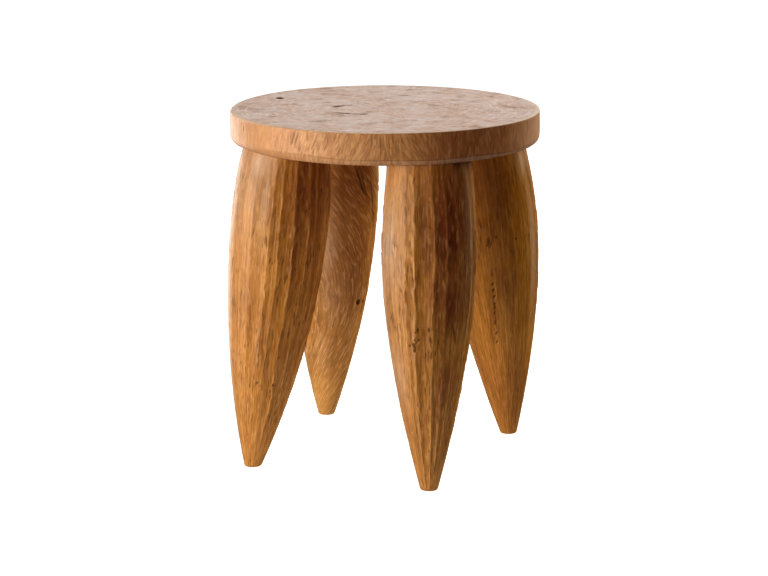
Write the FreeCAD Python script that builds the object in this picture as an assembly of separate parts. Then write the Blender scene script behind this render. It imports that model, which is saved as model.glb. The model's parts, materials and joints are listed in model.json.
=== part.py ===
import FreeCAD, Part

# Carved round stool: a thick round seat on four hewn legs that swell below the seat and taper to a point.
#
# Each leg carries a round tenon that stands in a blind mortise under the seat, and a fox wedge in the tenon's saw
# kerf spreads it as the leg is driven home, so nothing shows from outside.
#
# Millimetres and degrees, +Z up. The origin is on the floor, under the centre of the seat. Bearings turn
# counter-clockwise from +X, seen from above.

import math
import os
from collections import namedtuple

# Seat
SEAT_HEIGHT = 455.0        # floor to the top of the seat
SEAT_DIAMETER = 396.0
SEAT_THICKNESS = 41.0
TOP_EDGE_ROUND = 3.5       # radius on the upper edge of the rim
UNDER_BEVEL_HEIGHT = 7.0   # bevel round the lower edge of the rim
UNDER_BEVEL_WIDTH = 7.0

# Legs
LEG_INSET = 63.5           # from the rim to the middle of a leg's shoulder
LEG_SPLAY = 50.0           # how much further out than its shoulder a leg's foot stands
LEG_BOW = 2.5              # how far the middle of a leg strays outwards from a straight line
BELLY_RADIUS = 61.0        # at the widest place of a leg
BELLY_DROP = 110.0         # from the underside of the seat down to the widest place of a leg
SHOULDER_DRAW_IN = 8.5     # how much smaller the shoulder's radius is than the belly's
FOOT_RADIUS = 11.0
FOOT_EASE = 3.0            # the foot's edge is eased by this much, up and in
STRIP_UNEVENNESS = 0.2     # how far an arris strays, as a share of one hewn strip
STRAY_PHASE = 2.4          # radians from one arris's stray to the next, so that neighbours differ
LEG_SECTIONS = 9           # sections that a leg is drawn through

# Joints between legs and seat
TENON_DIAMETER = 40.0
MORTISE_ROOF = 13.0        # wood left above a mortise
SIDE_CLEARANCE = 0.1       # glue line on the sides of tenon and wedge
END_CLEARANCE = 0.5        # glue pocket over the tenon's end
WEDGE_LENGTH = 20.0
WEDGE_HEAD = 5.0           # thickness at the end that meets the mortise's roof
WEDGE_TIP = 1.5            # thickness at the driven end
WEDGE_SIDE_MARGIN = 1.0    # how far a wedge stops short of the tenon's side
KERF_RELIEF = 1.5          # how much deeper the kerf is than the wedge

# The legs were hewn one by one, so each has its own stance and shape. foot_turn is how far the foot strays round
# the stool from the shoulder's bearing. splay, girth, drop and bow are shares of LEG_SPLAY, BELLY_RADIUS, BELLY_DROP
# and LEG_BOW. A taper of 1 runs straight from belly to foot, and one of 2 is a parabola. strips counts the hewn
# strips round the leg, and strip_turn is the bearing of the first arris.
Leg = namedtuple("Leg", "name bearing foot_turn splay girth drop taper bow strips strip_turn")
LEGS = (
    Leg("front_right", -44.0, -6.0, 0.90, 0.975, 1.15, 1.62, 0.0, 20, 4.5),
    Leg("back_right", 45.0, 2.0, 1.00, 1.050, 1.04, 1.62, 0.8, 26, 0.0),
    Leg("back_left", 139.5, -2.0, 1.07, 0.955, 1.00, 1.88, 0.0, 24, 0.0),
    Leg("front_left", 224.5, 0.0, 1.00, 1.025, 0.80, 2.04, -1.1, 22, 0.0),
)

# Worked out from the sizes above
SEAT_RADIUS = SEAT_DIAMETER / 2
UNDERSIDE = SEAT_HEIGHT - SEAT_THICKNESS
SHOULDER_CIRCLE = SEAT_RADIUS - LEG_INSET
TENON_RADIUS = TENON_DIAMETER / 2
MORTISE_DEPTH = SEAT_THICKNESS - MORTISE_ROOF
MORTISE_RADIUS = TENON_RADIUS + SIDE_CLEARANCE
TENON_LENGTH = MORTISE_DEPTH - END_CLEARANCE
MORTISE_FLOOR = UNDERSIDE + MORTISE_DEPTH


def polar(radius, bearing, z):
    """The point at that distance and bearing from the stool's axis."""
    angle = math.radians(bearing)
    return FreeCAD.Vector(radius * math.cos(angle), radius * math.sin(angle), z)


def shoulder_centre(leg):
    return polar(SHOULDER_CIRCLE, leg.bearing, UNDERSIDE)


def foot_centre(leg):
    return polar(SHOULDER_CIRCLE + LEG_SPLAY * leg.splay, leg.bearing + leg.foot_turn, 0.0)


def axis_point(leg, z):
    """The middle of a leg at height z, on a shallow bow from its foot to its shoulder."""
    foot = foot_centre(leg)
    share = z / UNDERSIDE
    stray = 4.0 * share * (1.0 - share) * LEG_BOW * leg.bow
    return foot + (shoulder_centre(leg) - foot) * share + polar(stray, leg.bearing, 0.0)


def leg_radius(leg, z):
    """A leg swells from its foot to its belly, and draws in again to its shoulder."""
    belly_radius = BELLY_RADIUS * leg.girth
    belly_drop = BELLY_DROP * leg.drop
    belly_height = UNDERSIDE - belly_drop
    if z < belly_height:
        below = 1.0 - z / belly_height
        return belly_radius - (belly_radius - FOOT_RADIUS) * below ** leg.taper
    above = (z - belly_height) / belly_drop
    return belly_radius - SHOULDER_DRAW_IN * above ** 2


def hewn_outline(leg, z, radius):
    """Closed outline of straight strips at height z. Each arris keeps its own bearing all the way down."""
    centre = axis_point(leg, z)
    corners = []
    for i in range(leg.strips):
        stray = STRIP_UNEVENNESS * math.sin(STRAY_PHASE * i + leg.bearing)
        corners.append(centre + polar(radius, leg.strip_turn + 360.0 * (i + stray) / leg.strips, 0.0))
    return Part.makePolygon(corners + corners[:1])


def make_leg_body(leg):
    """The leg from its floor face to its shoulder, with one long face for each hewn strip."""
    rise = (UNDERSIDE - FOOT_EASE) / (LEG_SECTIONS - 1)
    heights = [FOOT_EASE + rise * i for i in range(LEG_SECTIONS)]
    sections = [hewn_outline(leg, z, leg_radius(leg, z)) for z in heights]
    body = Part.makeLoft(sections, True, False)
    floor_face = hewn_outline(leg, 0.0, leg_radius(leg, FOOT_EASE) - FOOT_EASE)
    foot = Part.makeLoft([floor_face, sections[0]], True, True)
    return body.fuse(foot)


def across_the_tenon(leg, outline, width):
    """Prism of that width standing across a leg's tenon. outline is a list of (offset along the leg's bearing, z)."""
    centre = shoulder_centre(leg)
    along = polar(1.0, leg.bearing, 0.0)
    side = polar(1.0, leg.bearing + 90.0, 0.0)
    corners = []
    for offset, z in outline:
        corner = centre + along * offset - side * (width / 2)
        corners.append(FreeCAD.Vector(corner.x, corner.y, z))
    return Part.Face(Part.makePolygon(corners + corners[:1])).extrude(side * width)


def wedge_thickness(z):
    """Thickness of a wedge at height z, on beyond both its ends."""
    above_tip = z - (MORTISE_FLOOR - WEDGE_LENGTH)
    return WEDGE_TIP + (WEDGE_HEAD - WEDGE_TIP) * above_tip / WEDGE_LENGTH


def make_kerf(leg):
    """What the saw and the wedge open in a tenon, right across it and out of its end."""
    low = MORTISE_FLOOR - WEDGE_LENGTH - KERF_RELIEF
    high = MORTISE_FLOOR
    low_half = wedge_thickness(low) / 2 + SIDE_CLEARANCE
    high_half = wedge_thickness(high) / 2 + SIDE_CLEARANCE
    outline = [(-low_half, low), (low_half, low), (high_half, high), (-high_half, high)]
    return across_the_tenon(leg, outline, TENON_DIAMETER + 2 * SIDE_CLEARANCE)


def make_leg(leg):
    tenon = Part.makeCylinder(TENON_RADIUS, TENON_LENGTH, shoulder_centre(leg))
    return make_leg_body(leg).fuse(tenon).cut(make_kerf(leg))


def make_wedge(leg):
    """Fox wedge, its head against the roof of the mortise."""
    low = MORTISE_FLOOR - WEDGE_LENGTH
    outline = [
        (-WEDGE_TIP / 2, low),
        (WEDGE_TIP / 2, low),
        (WEDGE_HEAD / 2, MORTISE_FLOOR),
        (-WEDGE_HEAD / 2, MORTISE_FLOOR),
    ]
    return across_the_tenon(leg, outline, TENON_DIAMETER - 2 * WEDGE_SIDE_MARGIN)


def make_seat_blank():
    """Disc with an eased upper edge and a bevelled lower edge."""
    rim_top = SEAT_HEIGHT - TOP_EDGE_ROUND
    round_middle = TOP_EDGE_ROUND * (1.0 - math.sqrt(0.5))
    axis_low = FreeCAD.Vector(0, 0, UNDERSIDE)
    axis_high = FreeCAD.Vector(0, 0, SEAT_HEIGHT)
    top_edge = FreeCAD.Vector(SEAT_RADIUS - TOP_EDGE_ROUND, 0, SEAT_HEIGHT)
    top_round = FreeCAD.Vector(SEAT_RADIUS - round_middle, 0, SEAT_HEIGHT - round_middle)
    rim_high = FreeCAD.Vector(SEAT_RADIUS, 0, rim_top)
    rim_low = FreeCAD.Vector(SEAT_RADIUS, 0, UNDERSIDE + UNDER_BEVEL_HEIGHT)
    under_edge = FreeCAD.Vector(SEAT_RADIUS - UNDER_BEVEL_WIDTH, 0, UNDERSIDE)
    profile = Part.Wire([
        Part.LineSegment(axis_high, top_edge).toShape(),
        Part.Arc(top_edge, top_round, rim_high).toShape(),
        Part.LineSegment(rim_high, rim_low).toShape(),
        Part.LineSegment(rim_low, under_edge).toShape(),
        Part.LineSegment(under_edge, axis_low).toShape(),
        Part.LineSegment(axis_low, axis_high).toShape(),
    ])
    return Part.Face(profile).revolve(FreeCAD.Vector(0, 0, 0), FreeCAD.Vector(0, 0, 1), 360)


def make_seat():
    seat = make_seat_blank()
    for leg in LEGS:
        seat = seat.cut(Part.makeCylinder(MORTISE_RADIUS, MORTISE_DEPTH, shoulder_centre(leg)))
    return seat


def export(node, shape):
    """Writes one node, which has to be one sound solid."""
    solids = shape.Solids
    if len(solids) != 1 or not solids[0].isValid():
        raise ValueError(f"{node} is not one valid solid")
    solids[0].exportStep(f"parts/{node}.step")
    print(f"{node}: {solids[0].Volume / 1000:.1f} cm3, {len(solids[0].Faces)} faces")


def main():
    os.makedirs("parts", exist_ok=True)
    export("seat", make_seat())
    for leg in LEGS:
        export(f"leg_{leg.name}", make_leg(leg))
        export(f"fox_wedge_{leg.name}", make_wedge(leg))


main()
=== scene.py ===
import json
import math
from collections import namedtuple
from types import SimpleNamespace

import bpy
import numpy as np
from mathutils import Matrix, Vector
from mathutils.bvhtree import BVHTree
from mathutils.geometry import delaunay_2d_cdt


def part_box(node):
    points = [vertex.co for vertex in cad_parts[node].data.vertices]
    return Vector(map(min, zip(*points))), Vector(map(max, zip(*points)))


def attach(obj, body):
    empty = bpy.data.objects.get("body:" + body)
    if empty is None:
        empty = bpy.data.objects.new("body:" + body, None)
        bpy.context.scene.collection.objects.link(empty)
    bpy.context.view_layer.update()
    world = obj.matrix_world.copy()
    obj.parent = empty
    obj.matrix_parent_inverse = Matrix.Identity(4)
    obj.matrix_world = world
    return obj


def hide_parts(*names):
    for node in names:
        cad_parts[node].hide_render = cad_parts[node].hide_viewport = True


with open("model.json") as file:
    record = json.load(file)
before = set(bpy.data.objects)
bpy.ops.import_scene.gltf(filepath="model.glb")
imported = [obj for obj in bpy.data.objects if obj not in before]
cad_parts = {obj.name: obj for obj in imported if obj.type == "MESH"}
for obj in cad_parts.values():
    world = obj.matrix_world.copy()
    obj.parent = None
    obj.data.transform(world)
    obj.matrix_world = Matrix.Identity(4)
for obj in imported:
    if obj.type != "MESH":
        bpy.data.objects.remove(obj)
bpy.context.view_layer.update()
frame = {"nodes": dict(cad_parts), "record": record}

# Lengths are in metres and angles in radians, in the frame's axes, unless a comment says otherwise.
# MM and DEG turn the sizes that a carver would name into those units.
MM = 0.001
DEG = math.pi / 180
TURN = 2 * math.pi

# The photograph's camera: where it stands, how it points, and its frame in pixels
IMAGE_WIDTH = 768
IMAGE_HEIGHT = 576
FOCAL_PIXELS = 2386.0
SENSOR_WIDTH = 36.0
CAMERA_AZIMUTH = 22.0 * DEG
CAMERA_DISTANCE = 3.0225
CAMERA_HEIGHT = 0.927
CAMERA_PITCH = 13.198 * DEG
STOOL_AXIS_PIXEL = 384.8
VIEW_RIGHT = Vector((math.cos(CAMERA_AZIMUTH), math.sin(CAMERA_AZIMUTH), 0.0))
VIEW_AWAY = Vector((-math.sin(CAMERA_AZIMUTH), math.cos(CAMERA_AZIMUTH), 0.0))
CAMERA_BEARING = CAMERA_AZIMUTH - math.pi / 2

# Sizes read from the frame
SEAT_LOW, SEAT_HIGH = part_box("seat")
UNDERSIDE = SEAT_LOW.z
SEAT_TOP = SEAT_HIGH.z
SEAT_RADIUS = SEAT_HIGH.x
SEAT_THICKNESS = SEAT_TOP - UNDERSIDE
LEG_NAMES = sorted(node[len("leg_"):] for node in frame["nodes"] if node.startswith("leg_"))
MOUNTS = {mount["name"]: mount for mount in frame["record"]["mounts"]}

# How finely the pieces are drawn. FOOT_ROWS are heights round a foot's eased edge, in millimetres.
LEG_COLUMNS = 288
LEG_ROWS = 326
FOOT_ROWS = (0.0, 0.4, 1.0, 1.8, 2.9)
FIRST_EVEN_ROW = 4.2 * MM
FOOT_SPACING = 1.6 * MM
SHOULDER_SPACING = 6 * MM
RIM_COLUMNS = 1300
RIM_ROWS = 34
BEVEL_ROWS = 8
EDGE_ROWS = 8
TOP_SPACING = 2.1 * MM
UNDERSIDE_SPACING = 3.5 * MM
NET_MARGIN = 0.6
SHARP_ANGLE = 50 * DEG

# How finely a leg of the frame is measured. FOOT_LEVELS are heights in millimetres, and EVEN_LEVELS the
# lowest and highest of the others, as shares of the leg's height.
TABLE_LEVELS = 80
TABLE_ANGLES = 720
COARSE_ANGLES = 72
FOOT_LEVELS = (0.1, 0.8, 1.5, 2.2, 2.9, 3.1, 4.0)
EVEN_LEVELS = (0.014, 0.9994)
ARRIS_ROW = int(TABLE_LEVELS * 0.7)

# Lengths that tell faces and points of the frame apart
HAIR = 0.1 * MM
LEVEL_SLACK = 0.01 * MM
BEVEL_START = 0.02 * MM
EDGE_START = 0.002 * MM
FULL_SLACK = 0.05 * MM
EDGE_ZONE = 8 * MM
MORTISE_REACH = 30 * MM
MORTISE_CIRCLE = 0.85 * SEAT_RADIUS

# Charts of the UV map: a box as left, bottom, right and top, or a scale and a middle
LEG_BOX = (0.01, 0.1, 0.99, 0.995)
TENON_BOX = (0.3, 0.01, 0.98, 0.09)
FOOT_CHART = (2.0, (0.05, 0.05))
SHOULDER_CHART = (0.7, (0.2, 0.05))
TOP_CHART = (1.55, (0.31, 0.31))
UNDERSIDE_CHART = (0.9, (0.81, 0.2))
MORTISE_CHART = (0.9, (0.81, 0.6))
RIM_STRIPS = (0.8, 0.92)
RIM_SCALE = 1.4
RIM_MARGIN = 0.01

# Legs: how the flutes wander, how crisp and hollow they are, and how long and deep a single cut is.
# Levels are shares of a leg's height.
WANDER_WIDE = 2.6 * DEG
WANDER_FINE = 1.1 * DEG
FLUTE_HOLLOW = 1.75
FLUTE_CRISP = 0.85
FLUTE_FADE = 0.55
FLUTE_LIMITS = (0.25, 1.35)
LOW_LEVELS = (0.15, 0.45)
FADE_LEVEL = 0.12
FADE_LEAST = 0.3
ARRIS_SHARP = 5.0
CUTS_IN_FLUTE = 18
CUT_LENGTHS = (18 * MM, 70 * MM)
CUT_SCOOP = 0.30 * MM
CUT_STEP = 0.22 * MM
CUT_TILT = 0.4 * MM
CUT_END_ARC = 5.0 * MM
FIBRE_RELIEF = 0.06 * MM
FIBRE_CELLS = ((130, 24), (60, 60))
SHOULDER_FLARE = 4.0 * MM
FLARE_HEIGHT = 7.0 * MM
FOOT_EDGE_HEIGHT = 3.0 * MM
FOOT_EDGE_FILL = 1.4 * MM
# Painted shade under the seat: how dark the top of each leg is painted, and over what drop it fades downwards
SHADE_UNDER_SEAT = 0.2
SHADE_UNDER_SEAT_DROP = 9.0 * MM
POST_RADIUS = 45 * MM

# Small marks on the legs. A mark is dark where it is as deep as MARK_DARK, and a burr light where it is as
# high as BURR_LIGHT.
MARKS_FROM = 8 * MM
BURR_WIDTHS = (0.9 * MM, 1.4 * MM)
BURR_HEIGHTS = (0.2 * MM, 0.6 * MM)
TICK_WIDTHS = (0.8 * MM, 1.2 * MM)
TICK_DEPTHS = (0.12 * MM, 0.42 * MM)
BURR_RISE = 0.5
BURR_LIGHT = 0.4 * MM
MARK_DARK = 0.6 * MM
LIP_PLACE = 1.5
LIP_WIDTH = 0.4

# Seat: its edges differ round the rim
SEAT_SEED = 1
LEFT_END = CAMERA_AZIMUTH + math.pi
BEVEL_SHARE = 1.25
BEVEL_SWING = 0.25
EDGE_SHARE = 0.4
EDGE_SWING = 1.1
ROUND_SHARE = 0.4
ROUND_SWING = 0.6
RIM_WAVES = 0.3 * MM
RIM_RIPPLES = RIM_WAVES / 2
RIM_PROUD = 0.2 * MM
RIM_STROKES = 2300
RIM_SPREAD = 8 * DEG
RIM_LENGTHS = (6 * MM, 15 * MM)
RIM_WIDTHS = (0.6 * MM, 1.0 * MM)
RIM_CUTS = (0.1 * MM, 0.4 * MM)
RIM_BURR_RISE = 0.4
RIM_BURR_LIGHT = 0.22 * MM
RIM_MARK_DARK = 0.8 * MM
RIM_NICKS = 0.1
EDGE_FULL = 0.5 * MM

# Values round the rim, as pairs of a bearing in degrees and the value there. First, how high the bevel is
# as a share of its height in the frame, and how deep a line is scored along its top, in millimetres.
BEVEL_HEIGHTS = (
    (-158, 1.5), (-125, 1.6), (-100, 1.5), (-83, 1.0), (-66, 1.05), (-51, 0.9), (-35, 1.1), (-15, 0.8),
    (22, 1.5), (112, 1.0))
BEVEL_SCORES = ((-158, 0.0), (-108, 0.0), (-92, 0.4), (-15, 0.4), (22, 0.15), (120, 0.15))
# How much the bevel is lightened by painted sheen, the upper edge by wear and a painted highlight, and the
# face between them by painted sheen
BEVEL_SHEEN = ((-158, 0.1), (-66, 0.1), (-40, 0.14), (0, 0.14), (22, 0.15), (120, 0.1))
EDGE_WEAR_AND_HIGHLIGHT = ((-158, 0.5), (-105, 0.45), (-85, 0.85), (22, 0.85), (60, 0.3), (150, 0.3))
RIM_SHEEN = (
    (-158, 0.05), (-120, 0.05), (-105, 0.06), (-85, 0.06), (-65, 0), (-20, 0), (0, 0.17), (22, 0.2), (70, 0))
# How the gouge strokes lean in degrees, to the right where above zero, and how deep they are as a share
RIM_LEANS = (
    (-158, 2), (-112, 6), (-92, 24), (-74, 22), (-60, -32), (-46, -4), (22, 0), (90, 20), (150, -15))
RIM_DEPTHS = (
    (-158, 0.4), (-112, 0.5), (-98, 1.1), (-60, 1.2), (-45, 0.6), (22, 0.6), (90, 1.0), (150, 1.0))
# How thickly light strokes lie on the rim, and how dark it is from staining and from painted shade on its
# shaded side
RIM_FLICKS = (
    (-158, 0.1), (-112, 0.2), (-98, 0.6), (-60, 0.65), (-45, 0.2), (22, 0.2), (90, 0.5), (150, 0.5))
RIM_STAIN_AND_SHADE = (
    (-158, 0), (-112, 0), (-98, 0.1), (-66, 0.04), (-56, 0.35), (-45, 0.7), (-25, 0.7), (-8, 0.3), (22, 0.1),
    (120, 0))

# Gouge dents on the top and the underside: their spacing and depth, and how long, wide and deep they are
# as shares of those
TOP_HOLLOWS = (26 * MM, 0.8 * MM)
TOP_DENTS = (11 * MM, 1.0 * MM)
UNDERSIDE_DENTS = (16 * MM, 0.7 * MM)
DENT_LENGTHS = (0.8, 1.5)
DENT_WIDTHS = (0.5, 0.8)
DENT_DEPTHS = (0.3, 1.0)
TOP_FADE = 6 * MM
TOP_MARK_DARK = 0.5 * MM
UNDERSIDE_FADE = 8 * MM
LEG_REACH = 56 * MM
RIDGE_DEPTH = 0.45 * MM
RING_RADIUS = 100 * MM

Stroke = namedtuple("Stroke", "angle height tilt length width depth")
Pit = namedtuple("Pit", "x y width height depth lip")
Line = namedtuple("Line", "x0 y0 x1 y1 width depth")
Cluster = namedtuple("Cluster", "x y width height share")
Carving = namedtuple("Carving", (
    "seed flutes low plain pale flicks nicks ticks burrs tilts spread length "
    "pits lines ridges clusters stains bleaches"))

# Marks on the legs, each where the photograph shows it in pixels, with its real size in millimetres.
# flutes says how crisp a leg's flutes are and low what is left of that near its foot. plain is a side on
# which they are worn away: how far round to the right of the camera, how wide, and how much. Lines are cut
# in, and ridges stand out.
# The dark patches are partly staining and partly painted shade on the shaded sides and under the seat; the
# light patches are partly bleaching and partly painted highlights and painted sheen on lit sides and edges.
CARVINGS = {
    "front_right": Carving(
        seed=11, flutes=1.15, low=0.75, plain=(-58 * DEG, 26 * DEG, 0.8), pale=0.0, flicks=0.3, nicks=0.6,
        ticks=160, burrs=60, tilts=(0, 0), spread=8 * DEG, length=(4 * MM, 11 * MM),
        pits=(),
        lines=(
            Line(413.4, 343.2, 415.0, 348.0, 1.6, 1.6),
            Line(415.0, 347.5, 414.4, 353.0, 1.4, 1.5),
            Line(414.2, 339.2, 415.2, 341.4, 1.2, 0.9),
            Line(418.0, 339.4, 418.8, 341.6, 1.2, 0.9),
            Line(415.8, 342.2, 417.0, 344.0, 1.0, 0.8),
            Line(409.3, 344.6, 409.8, 347.6, 1.1, 0.8),
            Line(415.0, 331.8, 415.6, 334.4, 1.1, 0.7),
            Line(417.4, 328.5, 417.5, 333.0, 1.0, 0.8),
            Line(429.2, 328.0, 429.2, 332.6, 1.2, 0.9),
            Line(430.2, 337.4, 431.6, 344.0, 1.1, 0.8),
            Line(431.2, 352.0, 431.4, 360.0, 1.1, 0.6),
            Line(425.6, 353.0, 426.0, 358.0, 1.0, 0.6),
            Line(452.0, 320.0, 456.0, 346.0, 1.1, 0.6),
        ),
        ridges=(
            Line(416.6, 344.8, 416.5, 352.0, 1.0, 0.7),
            Line(416.8, 345.0, 419.6, 342.8, 0.9, 0.6),
            Line(416.2, 334.0, 416.6, 336.4, 1.0, 0.6),
            Line(411.2, 345.2, 411.0, 348.0, 0.9, 0.6),
            Line(412.2, 338.0, 412.6, 340.2, 0.9, 0.5),
        ),
        clusters=(Cluster(434, 346, 14, 26, 0.9), Cluster(446, 270, 16, 60, 0.6)),
        stains=(
            Cluster(452, 222, 34, 100, 1.1),
            Cluster(453, 302, 27, 42, 0.95),
            Cluster(437, 292, 14, 30, 0.9),
            Cluster(445, 390, 14, 36, 0.85),
            Cluster(440, 166, 24, 8, 0.6),
        ),
        bleaches=(
            Cluster(402, 225, 9, 60, 0.06),
            Cluster(471, 230, 8, 90, 0.12),
            Cluster(388, 240, 13, 58, 0.3),
            Cluster(399, 375, 12, 40, 0.15),
        ),
    ),
    "back_right": Carving(
        seed=12, flutes=1.0, low=0.8, plain=(10 * DEG, 85 * DEG, 0.65), pale=0.0, flicks=0.25, nicks=0.12,
        ticks=50, burrs=30, tilts=(0, 0), spread=6 * DEG, length=(3 * MM, 8 * MM),
        pits=(),
        lines=(
            Line(486.8, 247.0, 490.6, 239.0, 1.1, 0.8),
            Line(489.0, 248.6, 492.4, 240.6, 1.0, 0.7),
            Line(487.4, 243.4, 489.6, 236.4, 1.0, 0.6),
            Line(496.4, 238.4, 496.8, 235.6, 1.2, 0.9),
            Line(515.6, 240.2, 516.0, 237.8, 1.2, 0.9),
            Line(491.4, 276.4, 492.6, 272.8, 1.0, 0.5),
            Line(492.0, 285.8, 493.6, 282.4, 1.0, 1.1),
            Line(492.8, 292.0, 494.2, 288.4, 1.1, 1.3),
            Line(493.6, 298.2, 495.2, 294.8, 1.0, 1.1),
            Line(493.9, 305.4, 495.2, 302.2, 1.1, 0.8),
            Line(494.2, 309.2, 495.6, 305.8, 1.1, 0.8),
            Line(493.8, 314.4, 495.2, 311.2, 0.9, 0.9),
            Line(495.0, 325.0, 495.6, 319.4, 1.0, 0.7),
            Line(496.0, 334.6, 497.2, 331.0, 0.9, 0.9),
            Line(496.6, 343.4, 497.6, 339.6, 0.9, 0.9),
        ),
        ridges=(
            Line(495.2, 291.4, 496.0, 286.6, 0.9, 0.6),
            Line(496.0, 300.0, 496.4, 294.0, 0.8, 0.4),
            Line(497.6, 334.0, 498.2, 330.4, 0.8, 0.4),
            Line(498.0, 343.5, 498.4, 338.5, 0.9, 0.5),
        ),
        clusters=(Cluster(484, 240, 9, 40, 0.8),),
        stains=(Cluster(494, 180, 24, 45, 0.4), Cluster(506, 395, 40, 60, 0.3)),
        bleaches=(Cluster(534, 250, 10, 80, 0.23), Cluster(522, 160, 14, 22, 0.26)),
    ),
    "back_left": Carving(
        seed=13, flutes=1.0, low=0.8, plain=(10 * DEG, 85 * DEG, 0.65), pale=0.6, flicks=1.0, nicks=0.2,
        ticks=60, burrs=600, tilts=(28 * DEG, 24 * DEG, -12 * DEG, -36 * DEG, -38 * DEG), spread=7 * DEG,
        length=(6 * MM, 13 * MM),
        pits=(Pit(358.5, 302.0, 3.3, 3.3, 5.0, 0.1), Pit(363.0, 301.0, 1.7, 1.9, 3.0, 0.1)),
        lines=(
            Line(356.5, 168.0, 364.0, 196.0, 1.3, 1.0),
            Line(361.0, 172.0, 366.5, 199.0, 1.0, 0.7),
            Line(370.0, 176.0, 373.5, 222.0, 1.2, 0.7),
            Line(371.0, 205.0, 373.5, 228.0, 0.9, 0.5),
        ),
        ridges=(
            Line(358.5, 170.0, 365.5, 194.0, 0.8, 0.5),
            Line(360.5, 205.0, 363.0, 202.0, 1.0, 0.7),
            Line(363.0, 202.0, 366.0, 205.0, 1.0, 0.7),
            Line(366.0, 206.0, 364.0, 209.5, 1.0, 0.7),
            Line(361.0, 207.5, 363.5, 209.8, 1.0, 0.7),
        ),
        clusters=(),
        stains=(Cluster(352, 185, 30, 45, 0.4), Cluster(358, 265, 16, 60, 0.4)),
        bleaches=(
            Cluster(330, 295, 16, 40, 0.13),
            Cluster(322, 350, 14, 50, 0.08),
            Cluster(328, 245, 12, 55, 0.3),
        ),
    ),
    "front_left": Carving(
        seed=14, flutes=1.4, low=0.55, plain=(-64 * DEG, 46 * DEG, 0.95), pale=0.0, flicks=0.35, nicks=0.7,
        ticks=120, burrs=80, tilts=(0, 0), spread=8 * DEG, length=(3 * MM, 10 * MM),
        pits=(Pit(273.0, 385.0, 1.2, 2.2, 1.0, 0.1), Pit(257.0, 383.0, 1.1, 1.8, 0.8, 0.1)),
        lines=(Line(273.0, 328.0, 273.0, 342.0, 0.9, 0.5),),
        ridges=(),
        clusters=(Cluster(274, 260, 14, 26, 1.0), Cluster(298, 268, 22, 40, 0.9)),
        stains=(
            Cluster(271, 195, 5, 60, 0.3),
            Cluster(307, 190, 28, 70, 0.75),
            Cluster(293, 255, 12, 30, 0.55),
            Cluster(245, 290, 16, 45, 0.2),
        ),
        bleaches=(
            Cluster(248, 180, 26, 60, 0.16),
            Cluster(264, 200, 6, 50, 0.2),
            Cluster(260, 162, 20, 24, 0.34),
        ),
    ),
}

# Marks on the seat, in the same way: a pit and two checks in the top, and a crack and two cuts in the rim
TOP_PIT = Pit(279.5, 97.5, 4.5, 7.0, 3.0, 0.3)
TOP_CHECKS = (
    Line(331, 106.5, 353, 103.9, 2.8, 1.5),
    Line(333, 112.0, 369, 113.9, 2.8, 1.5),
)
RIM_LINES = (
    Line(243.5, 124, 243.5, 132, 0.9, 0.8),
    Line(291, 146, 295, 132, 1.0, 0.6),
    Line(295, 145, 298, 134, 0.9, 0.5),
)


def smooth(t):
    return t * t * (3.0 - 2.0 * t)


def clamp(values):
    return np.clip(values, 0.0, 1.0)


def bell(distance):
    """Falls softly from 1, and is nearly 0 beyond a distance of 2."""
    return np.exp(-distance ** 2)


def between(table, row, column, ease=None):
    """Values between the rows and columns of a table whose columns close on themselves."""
    row_low = np.floor(row).astype(int)
    column_low = np.floor(column).astype(int)
    row_part = row - row_low
    column_part = column - column_low
    if ease:
        row_part = ease(row_part)
        column_part = ease(column_part)
    left = column_low % table.shape[1]
    right = (column_low + 1) % table.shape[1]
    low = table[row_low, left] * (1 - column_part) + table[row_low, right] * column_part
    row_high = row_low + 1
    high = table[row_high, left] * (1 - column_part) + table[row_high, right] * column_part
    return low * (1 - row_part) + high * row_part


def lattice_noise(u, v, cells_u, cells_v, rng):
    """Smooth noise from -1 to 1 over u and v from 0 to 1. It repeats in u."""
    lattice = rng.uniform(-1.0, 1.0, (cells_u, cells_v + 2)).T
    return between(lattice, clamp(v) * cells_v, u * cells_u, smooth)


def turn_between(angle, other):
    """The smaller turn from other to angle, from minus to plus half a circle."""
    return (angle - other + math.pi) % TURN - math.pi


def full_circle(count):
    return np.arange(count) * TURN / count


def round_points(radius, angle, height):
    """Points at a distance and an angle round an upright axis, and at a height."""
    return np.stack((radius * np.cos(angle), radius * np.sin(angle), height), axis=-1)


def by_bearing(angles, table):
    """Values between those that a table gives at a few bearings round the stool."""
    bearings, values = np.transpose(table)
    return np.interp(angles, bearings * DEG, values, period=TURN)


# Camera

def camera_matrix():
    """Places the camera as the photograph's stood, level and pitched down."""
    place = VIEW_AWAY * -CAMERA_DISTANCE
    place.z = CAMERA_HEIGHT
    heading = CAMERA_AZIMUTH + math.atan((STOOL_AXIS_PIXEL - IMAGE_WIDTH / 2) / FOCAL_PIXELS)
    turn = Matrix.Rotation(heading, 4, "Z") @ Matrix.Rotation(math.pi / 2 - CAMERA_PITCH, 4, "X")
    return Matrix.Translation(place) @ turn


def make_camera():
    data = bpy.data.cameras.new("camera")
    data.sensor_width = SENSOR_WIDTH
    data.lens = FOCAL_PIXELS / IMAGE_WIDTH * SENSOR_WIDTH
    camera = bpy.data.objects.new("camera", data)
    camera.matrix_world = camera_matrix()
    bpy.context.scene.collection.objects.link(camera)
    bpy.context.scene.camera = camera


# The CAD surfaces

def surface_of(node):
    """Search tree over the faces of a CAD node."""
    mesh = frame["nodes"][node].data
    points = [vertex.co.copy() for vertex in mesh.vertices]
    faces = [tuple(face.vertices) for face in mesh.polygons]
    return BVHTree.FromPolygons(points, faces)


SURFACES = {node: surface_of(node) for node in frame["nodes"] if not node.startswith("fox_wedge_")}


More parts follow.
